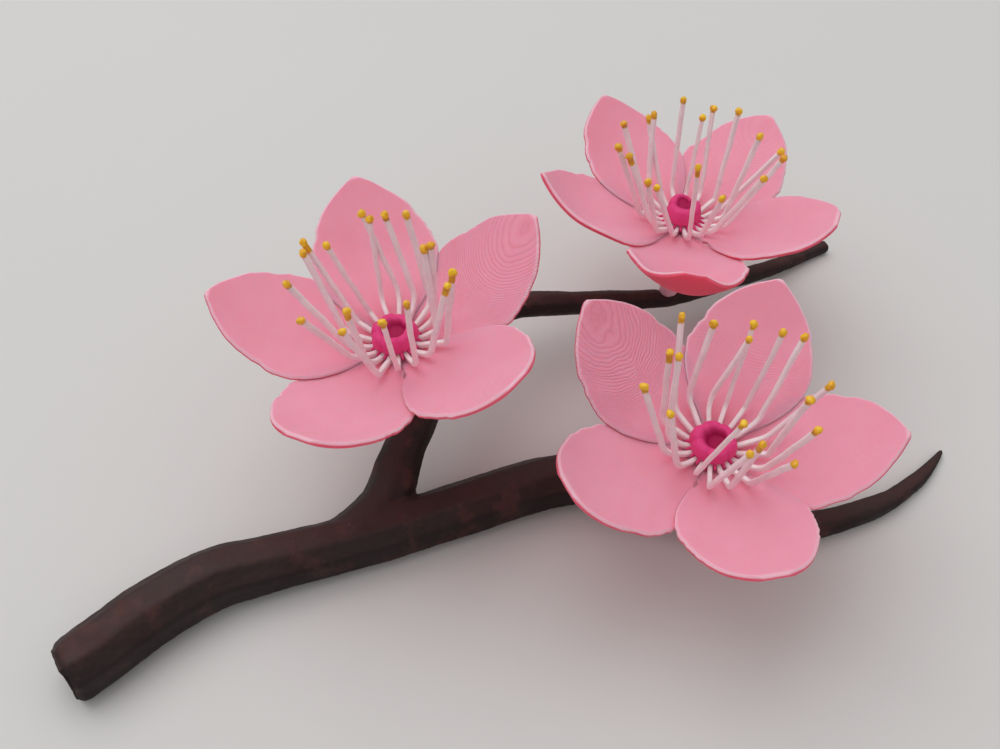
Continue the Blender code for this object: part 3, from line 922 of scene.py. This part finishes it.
def stamen_path(number, star, turn, draw):
    """Root, end of the level run, elbow and tip of one stamen, and its side."""
    azimuth = number * math.tau / STAMENS + math.radians(star["star_turn"])
    out = Vector((math.cos(azimuth), math.sin(azimuth), 0))
    side = Vector((-out.y, out.x, 0))
    up = Vector((0, 0, 1))
    bend = BEND_RADIUS + draw.uniform(-1, 1) * BEND_SPREAD
    lean = math.radians(star["open"]) + draw.uniform(-1, 1) * LEAN_SPREAD
    sway = draw.uniform(-1, 1) * SIDE_SPREAD
    length = STEM_LENGTH * (1 + draw.uniform(-1, 1) * LENGTH_SPREAD)
    right, back = (math.tan(math.radians(angle)) for angle in star["brush"])
    brush = Matrix.Rotation(-math.radians(turn), 3, "Z") @ Vector((right, back, 0))
    stem = up * math.cos(lean) + out * math.sin(lean) + side * math.tan(sway) + brush
    stem.normalize()
    root = out * 0.75 * STAR_RADIUS + up * STAR_LIFT
    level = out * LEVEL_RADIUS + up * STAR_LIFT
    corner = out * bend + up * bend_height(bend)
    return [root, level, corner, corner + stem * length], side


def star_paths(name, star, turn):
    """All paths of a star as a mesh of edges, with what differs between stamens."""
    draw = random.Random(star["seed"])
    finish = random.Random(star["seed"] + 1)
    points, edges = [], []
    notes = {"side": [], "fold": [], "paint": []}
    for number in range(STAMENS):
        path, side = stamen_path(number, star, turn, draw)
        first = len(points)
        points += path
        edges += [(first + step, first + step + 1) for step in range(len(path) - 1)]
        fold = finish.choice((0.6, 2.2, 3.6, 5.0)) * MM
        paint = finish.choice((0.0, 0.0, 0.2, 0.5, 1.6)) * MM
        for values, value in zip(notes.values(), (side, fold, paint)):
            values += [value] * len(path)
    mesh = bpy.data.meshes.new(name + " paths")
    mesh.from_pydata(points, edges, [])
    for label, values in notes.items():
        note(mesh, label, values)
    return mesh


# %% From paths to strips with painted ends


def star_tree():
    """Carries a flat profile along every path and sets a drop of paint on its end."""
    tree = new_tree("stamens", {
        "Geometry": "Geometry", "Strip Width": 1.20 * MM, "Strip Height": 0.95 * MM,
        "Drop": 0.80 * MM, "Washer": 0.75 * STAR_RADIUS, "Lift": STAR_LIFT,
        "Wander": 0.22 * MM, "Seed": 0, "Strip Finish": None, "Paint Finish": None})
    size = inputs_of(tree)

    # the path: a rounded elbow, then points every half millimetre that wander a little
    line = geo(tree, "MeshToCurve", {0: size["Geometry"]})
    line = geo(tree, "FilletCurve", {
        "Curve": line, "Radius": stored(tree, "fold"), "Count": 6,
        "Limit Radius": True}, mode="POLY")
    line = geo(tree, "ResampleCurve", {"Curve": line, "Length": 0.45 * MM}, mode="LENGTH")
    share = formula(tree, geo(tree, "SplineParameter"), "Factor")
    position = geo(tree, "InputPosition")
    drift = add_node(tree, "ShaderNodeTexNoise", {
        "Vector": position, "W": size["Seed"], "Scale": 170.0, "Detail": 1.0},
        noise_dimensions="4D")
    drift = add_node(tree, "ShaderNodeVectorMath", {
        0: drift.outputs["Color"], 1: (0.5, 0.5, 0.5)}, operation="SUBTRACT")
    drift = scaled(tree, drift, size["Wander"] * 2.0 * share.ramp(0.1, 0.35))
    path = moved(tree, line, Offset=drift)
    path = geo(tree, "SetCurveNormal", {
        "Curve": path, "Normal": stored(tree, "side", "FLOAT_VECTOR")}, mode="FREE")
    path = geo(tree, "SetCurveRadius", {
        "Curve": path, "Radius": share.ramp(0.15, 0.8, 1.05, 0.76)})
    length = formula(tree, geo(tree, "SplineLength"))
    path = store(tree, path, "from_tip", (1.0 - share) * length)

    # the strip's profile, a flat rectangle with soft corners
    outline = geo(tree, "CurvePrimitiveQuadrilateral", {
        "Width": size["Strip Height"], "Height": size["Strip Width"]})
    outline = geo(tree, "FilletCurve", {
        "Curve": outline, "Radius": 0.28 * MM, "Count": 3}, mode="POLY")
    strips = geo(tree, "CurveToMesh", {
        "Curve": path, "Profile Curve": outline, "Fill Caps": True})

    # the washer that the strips grow from, carried round a circle
    circle = geo(tree, "CurvePrimitiveCircle", {"Resolution": 51, "Radius": size["Washer"]})
    band = geo(tree, "CurvePrimitiveQuadrilateral", {
        "Width": size["Strip Width"] * 1.15, "Height": size["Strip Height"]})
    washer = geo(tree, "CurveToMesh", {"Curve": circle, "Profile Curve": band})
    washer = geo(tree, "Transform", {
        "Geometry": washer, "Translation": vector(tree, 0.0, 0.0, size["Lift"])})
    white = painted(tree, join(tree, strips, washer), size["Strip Finish"])

    # a drop of paint on each end: a ball, a little longer than it is wide, then dented
    ends = geo(tree, "CurveEndpointSelection", {"Start Size": 0, "End Size": 1})
    ball = geo(tree, "MeshIcoSphere", {"Radius": size["Drop"], "Subdivisions": 4})
    aim = add_node(tree, "FunctionNodeAlignRotationToVector", {
        "Vector": geo(tree, "InputTangent")}, axis="Z")
    plump = add_node(tree, "FunctionNodeRandomValue", {
        0: (0.86, 0.86, 0.86), 1: (1.10, 1.10, 1.22), "Seed": size["Seed"]},
        data_type="FLOAT_VECTOR")
    drops = geo(tree, "InstanceOnPoints", {
        "Points": path, "Selection": ends, "Instance": ball, "Rotation": aim,
        "Scale": plump})
    drops = geo(tree, "RealizeInstances", {0: drops})
    lumps = (noise(tree, position, 750.0, 1.0) - 0.5) * 0.65 * MM
    normal = geo(tree, "InputNormal")
    drops = moved(tree, drops, Offset=scaled(tree, normal, lumps))
    drops = painted(tree, drops, size["Paint Finish"])
    add_node(tree, "NodeGroupOutput", {0: join(tree, drops, white)})
    return tree


stamens = star_tree()


def star_mesh(name, star):
    paths = star_paths("stamens_star_" + name, star, BLOOMS[name]["turn"])
    return grow("stamens_star_" + name, stamens, {
        "Seed": star["seed"], "Strip Finish": strip_plastic,
        "Paint Finish": yellow_paint}, paths)


star_meshes = {name: star_mesh(name, star) for name, star in STARS.items()}
for name, mesh in star_meshes.items():
    print(f"stamens, {name}: {triangles(mesh)} triangles")

# %% [markdown]
# ## The cup in the middle
#
# The magenta cup is a thick ring with a hollow, drawn in between a few lobes, so that
# its rim is uneven and its hollow has corners. A turned shape gives the ring. Then each
# point is moved in or out and down by a wave round the axis. The wave, with its sharp
# grooves between round lobes, is different for each blossom. A pin under the cup goes
# through the star into the hub. Little teeth stand between the roots of the strips,
# one for each stamen, so Geometry Nodes place them round a circle.

# %% Sizes of the cup
CUP_RADIUS = 0.125 * BLOOM_RADIUS
CUP_BASE = STAR_LIFT + STRIP_WIDTH / 2 + GAP
CUP_HEIGHT = 3.2 * MM
CUP_SIDES = 120
HOLLOW_SHIFT = 0.55 * MM        # how far off the middle a hollow of full shift lies
PIN_RADIUS = 1.4 * MM
PIN_BOTTOM = -2.6 * MM
# Shares of the cup's radius and height, from its foot over the rim into the hollow,
# and how much the lobes show at each of them.
CUP_SHAPE = (
    (0.92, 0.00, 0.3), (1.04, 0.06, 0.6), (1.08, 0.18, 0.9), (1.06, 0.40, 1.0),
    (1.02, 0.62, 1.0), (0.97, 0.81, 1.0), (0.90, 0.93, 1.0), (0.79, 0.99, 1.0),
    (0.68, 1.00, 1.0), (0.59, 0.95, 1.1), (0.53, 0.85, 1.2), (0.48, 0.70, 1.2),
    (0.44, 0.56, 1.1), (0.39, 0.49, 0.9), (0.30, 0.46, 0.5), (0.16, 0.45, 0.2),
    (0.04, 0.45, 0.0))
RIM_RINGS = 9                   # how many of them are outside the hollow
HOLLOW_RINGS = 4.0              # over how many rings the hollow's painted shade comes in
CUPS = {"left": {"lobes": 7, "depth": 0.08, "dip": 0.10, "phase": 0.3, "seed": 5,
                 "hollow": (0.7, -0.3), "deep": 0.9, "wide": 1.0, "tall": 1.0},
        "far": {"lobes": 3, "depth": 0.16, "dip": 0.16, "phase": 1.1, "seed": 8,
                "hollow": (0.2, 0.4), "deep": 0.3, "wide": 0.88, "tall": 1.3},
        "right": {"lobes": 6, "depth": 0.10, "dip": 0.12, "phase": 0.0, "seed": 3,
                  "hollow": (1.0, -0.5), "deep": 1.1, "wide": 1.0, "tall": 1.0}}


def cup_mesh(name, cup, turn):
    """A lobed cup with its pin, and the attribute that marks its hollow."""
    height = cup["tall"] * CUP_HEIGHT
    profile = [(PIN_RADIUS - 0.15 * MM, PIN_BOTTOM),
               (PIN_RADIUS, PIN_BOTTOM + 0.15 * MM), (PIN_RADIUS, CUP_BASE)]
    lobing = [0.0] * len(profile)
    hollow = [0.0] * len(profile)
    for ring, (share, rise, shown) in enumerate(CUP_SHAPE):
        if ring >= RIM_RINGS:
            rise = 1 - (1 - rise) * cup["deep"]
        profile.append((share * CUP_RADIUS * cup["wide"], CUP_BASE + rise * height))
        lobing.append(shown)
        hollow.append((ring - RIM_RINGS + 1) / HOLLOW_RINGS)
    lobing = np.repeat(lobing, CUP_SIDES)
    hollow = np.clip(np.repeat(hollow, CUP_SIDES), 0, 1)
    mesh = turned_mesh(name, profile, CUP_SIDES)
    points = read_points(mesh.vertices, "co")

    # which lobe each point is in, and how near the middle of it
    draw = random.Random(cup["seed"])
    sizes = np.array([draw.uniform(0.5, 1.5) for _ in range(cup["lobes"])])
    lifts = np.array([draw.uniform(-0.5, 0.6) for _ in range(cup["lobes"])])
    angle = np.arctan2(points[:, 1], points[:, 0]) + cup["phase"]
    around = (angle % math.tau) / math.tau * cup["lobes"]
    which = np.minimum(around.astype(int), cup["lobes"] - 1)
    bump = np.abs(np.sin(np.pi * (around - which))) ** 0.6

    # down between the lobes, in and out with them, and the hollow off the middle
    share = np.clip((points[:, 2] - CUP_BASE) / height, 0, 1)
    low = 1 - bump * (1 + lifts[which])
    points[:, 2] -= share * lobing * cup["dip"] * height * low
    out = 1 + cup["depth"] * lobing * (sizes[which] * bump - 0.65)
    points[:, :2] *= out[:, None]
    away = Matrix.Rotation(-math.radians(turn), 2) @ Vector(cup["hollow"])
    points[:, :2] += hollow[:, None] * np.array(away) * HOLLOW_SHIFT
    mesh.vertices.foreach_set("co", points.ravel())
    note(mesh, "hollow", hollow)
    return mesh


# %% Teeth and cups


def teeth_tree():
    """Wedges round a circle, each sloping down and outwards."""
    tree = new_tree("teeth", {"Count": STAMENS, "Radius": 4.0 * MM, "Length": 2.6 * MM,
                              "Width": 0.85 * MM, "Height": 1.7 * MM, "Turn": 0.0,
                              "Lift": 1.75 * MM, "Slope": 0.30, "Finish": None})
    size = inputs_of(tree)
    block = geo(tree, "MeshCube", {
        "Size": vector(tree, size["Length"], size["Width"], size["Height"]),
        "Vertices X": 5, "Vertices Y": 3, "Vertices Z": 3})
    x, y, z = axes(tree, geo(tree, "InputPosition"))
    narrow = (x / size["Length"] + 0.5).ramp(0.2, 1.0, 1.0, 0.45)
    tooth = moved(tree, block, Position=vector(tree, x, y * narrow, z * narrow))
    tooth = geo(tree, "SubdivisionSurface", {"Mesh": tooth, "Level": 1})
    circle = geo(tree, "MeshCircle", {"Vertices": size["Count"], "Radius": size["Radius"]})
    index = formula(tree, geo(tree, "InputIndex"))
    spin = vector(tree, 0.0, size["Slope"], index * math.tau / size["Count"])
    jitter = add_node(tree, "FunctionNodeRandomValue", {2: 0.80, 3: 1.15, "Seed": 4})
    teeth = geo(tree, "InstanceOnPoints", {
        "Points": circle, "Instance": tooth, "Rotation": spin, "Scale": jitter.outputs[1]})
    placed = geo(tree, "Transform", {
        "Geometry": teeth, "Rotation": vector(tree, 0.0, 0.0, size["Turn"]),
        "Translation": vector(tree, 0.0, 0.0, size["Lift"])})
    end_tree(tree, placed, size["Finish"])
    return tree


teeth = teeth_tree()
cup_meshes = {}
for name, cup in CUPS.items():
    between = math.radians(STARS[name]["star_turn"]) + math.pi / STAMENS
    ring = grow("teeth", teeth, {"Turn": between, "Finish": cup_plastic})
    parts = [cup_mesh("cup_" + name, cup, BLOOMS[name]["turn"]), ring]
    cup_meshes[name] = joined("cup_" + name, parts)
    cup_meshes[name].materials.append(cup_plastic)
    print(f"cup and teeth, {name}: {triangles(cup_meshes[name])} triangles")

# %% [markdown]
# ## The branch
#
# The model's branch has the right course and thickness, but flat facets. A finer skin
# is grown over a copy of it: its loose triangles are welded, Remesh turns them into an
# even grid, and Smooth takes the facets' edges off. Geometry Nodes then push the grid in
# and out a little, with three sizes of noise, rougher at the cut end, and round the
# corners of the cut. The underside stays flat, because it was printed on the bed.

# %% A finer skin over the branch
GRID_STEP = 0.42 * MM
SOFTENING = 17                  # how many times the grid's points are evened out
# the scale and the detail of each noise in the relief
RELIEF = {"Lumps": (80.0, 1.0), "Dents": (330.0, 2.0), "Grit": (1100.0, 2.0)}


def relief_tree():
    """Pushes a surface in and out by noise, more at the cut end, flat at the bottom."""
    tree = new_tree("relief", {
        "Geometry": "Geometry", "Lumps": 0.35 * MM, "Dents": 0.15 * MM,
        "Grit": 0.06 * MM, "Cut Place": -65.6 * MM, "Cut Turn": math.radians(35.7),
        "Corner": 1.5 * MM, "Finish": None})
    size = inputs_of(tree)
    position = geo(tree, "InputPosition")
    x, y, z = axes(tree, position)
    side, front = size["Cut Turn"].math("COSINE"), size["Cut Turn"].math("SINE")
    from_cut = x * side + y * front - size["Cut Place"]
    above = z.ramp(0.05 * MM, 1.2 * MM)
    pushes = [(noise(tree, position, scale, detail) - 0.5) * size[label] * 2.0
              for label, (scale, detail) in RELIEF.items()]
    push = (pushes[0] + pushes[1] + pushes[2]) * from_cut.ramp(0.0, 8 * MM, 2.4, 1.0)
    push = push * above

    # the corners of the cut are round: near it, the limb's sides are drawn in
    pull = from_cut.ramp(-0.5 * MM, 2.6 * MM, 1.0, 0.0) ** 2.0 * size["Corner"] * above
    normal = axes(tree, geo(tree, "InputNormal"))
    facing = normal[0] * side + normal[1] * front
    shift = [part * (push - pull) for part in normal]
    shift[0] = shift[0] + facing * side * pull
    shift[1] = shift[1] + facing * front * pull
    skin = moved(tree, size["Geometry"], Offset=vector(tree, *shift))
    end_tree(tree, skin, size["Finish"])
    return tree


def branch_mesh():
    """The model's branch with an even grid, soft edges and a relief."""
    shape = bmesh.new()
    shape.from_mesh(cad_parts["branch"].data)
    bmesh.ops.remove_doubles(shape, verts=shape.verts, dist=0.001 * MM)
    thing = new_object("branch copy", mesh_of("branch copy", shape))
    grid = thing.modifiers.new("even grid", "REMESH")
    grid.mode = "VOXEL"
    grid.voxel_size = GRID_STEP
    soften = thing.modifiers.new("soften", "SMOOTH")
    soften.factor = 0.5
    soften.iterations = SOFTENING
    skin = plain_mesh(thing)
    skin = grow("branch_skin", relief_tree(), {"Finish": branch_plastic}, skin)
    points = read_points(skin.vertices, "co")
    points[:, 2] = np.maximum(points[:, 2], 0.0)
    skin.vertices.foreach_set("co", points.ravel())
    # how far each point faces up, which sets the painted shade on the branch's sides
    note(skin, "lit_from_above", read_points(skin.vertex_normals, "vector")[:, 2])
    return skin


branch_skin = branch_mesh()
print("branch:", triangles(branch_skin), "triangles")

# %% [markdown]
# ## Putting the pieces in place
#
# A blossom's three pieces are moved by its matrix, inside their meshes, so that every
# object stays at the origin. Nothing on the sprig moves, so all ride on one body. Each
# piece takes the place of the plain model's node, which stays, hidden.

# %% Pieces and what they replace


def add_piece(name, mesh, matrix, node):
    mesh.transform(matrix)
    mesh.update()
    mesh.shade_smooth()
    piece = new_object(name, mesh)
    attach(piece, "root")
    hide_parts(node)
    low = [round(1000 * min(corner[axis] for corner in piece.bound_box), 1)
           for axis in range(3)]
    print(f"{name}: {triangles(mesh)} triangles, lowest corner {low} mm")


add_piece("branch_skin", branch_skin, Matrix.Identity(4), "branch")
for name, bloom in BLOOMS.items():
    matrix = bloom_matrix(bloom)
    add_piece("pink_blossom_" + name, petal_meshes[name], matrix,
              "petals_" + name)
    add_piece("stamen_star_" + name, star_meshes[name], matrix,
              "stamens_" + name)
    add_piece("magenta_cup_" + name, cup_meshes[name], matrix, "centre_" + name)

# %% [markdown]
# ## Table, light and camera
#
# The sprig lies on a plain pale table. A grey world lights it from all sides, brighter
# overhead than near the horizon, and one large soft lamp above, behind and to the left
# gives the shadows their direction. The camera looks down at about forty degrees from
# the vertical.

# %% Table
FLOOR_SIZE = 24.0


def floor_finish():
    material, tree = new_finish("pale table", {"Specular IOR Level": 0.25})
    tint, _, grain = mottled(tree, 3.0, 220.0, 0.5, (216, 215, 214), (213, 212, 211))
    set_surface(tree, tint, grain.ramp(0.2, 0.8, 0.60, 0.72))
    return material


half = FLOOR_SIZE / 2
floor_mesh = bpy.data.meshes.new("table")
floor_mesh.from_pydata([(-half, -half, 0), (half, -half, 0), (half, half, 0),
                        (-half, half, 0)], [], [(0, 1, 2, 3)])
floor_mesh.materials.append(floor_finish())
floor = new_object("table", floor_mesh)
floor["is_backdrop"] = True
print("table:", FLOOR_SIZE, "m wide")

# %% Light
ROOM_TINT = (1.0, 0.995, 0.985, 1.0)
HORIZON = 0.20                  # how bright the room is level with the table
ZENITH = 0.68                   # and overhead
LAMP_PLACE = Vector((-0.36, 0.36, 1.10))
LAMP_TARGET = Vector((0.02, 0.05, 0.0))
LAMP_SIZE = 1.2
LAMP_POWER = 6.0

# the world is dim at the horizon and bright overhead, as under a ceiling
world = bpy.data.worlds.new("even room")
bpy.context.scene.world = world
world.use_nodes = True
room = world.node_tree
direction = add_node(room, "ShaderNodeTexCoord").outputs["Generated"]
overhead = axes(room, direction)[2]
background = room.nodes["Background"].inputs
background["Color"].default_value = ROOM_TINT
feed(room, background["Strength"], overhead.ramp(0.0, 0.75, HORIZON, ZENITH))

light = bpy.data.lights.new("ceiling", "AREA")
light.shape = "SQUARE"
light.size = LAMP_SIZE
light.energy = LAMP_POWER
lamp = new_object("ceiling", light)
lamp.location = LAMP_PLACE
lamp.rotation_euler = (LAMP_TARGET - LAMP_PLACE).to_track_quat("-Z", "Y").to_euler()
bpy.context.scene.view_settings.view_transform = "Standard"
print("world:", world.name, "and one lamp:", lamp.name)

# %% Camera
CAMERA_PLACE = Vector((24.6, -130.2, 207.3)) * MM
CAMERA_TILT = math.radians(40.63)       # from looking straight down
LENS = 41.4                             # millimetres, for a sensor 36 mm wide

camera_data = bpy.data.cameras.new("camera")
camera_data.lens = LENS
camera_data.sensor_width = 36.0
camera_data.clip_start = 0.01
camera = new_object("camera", camera_data)
camera.location = CAMERA_PLACE
camera.rotation_euler = (CAMERA_TILT, 0, 0)
bpy.context.scene.camera = camera
print("camera", round(1000 * camera.location.length), "mm from the middle")

low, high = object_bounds()
print("box with the finer pieces, mm:", [round(1000 * size) for size in high - low])
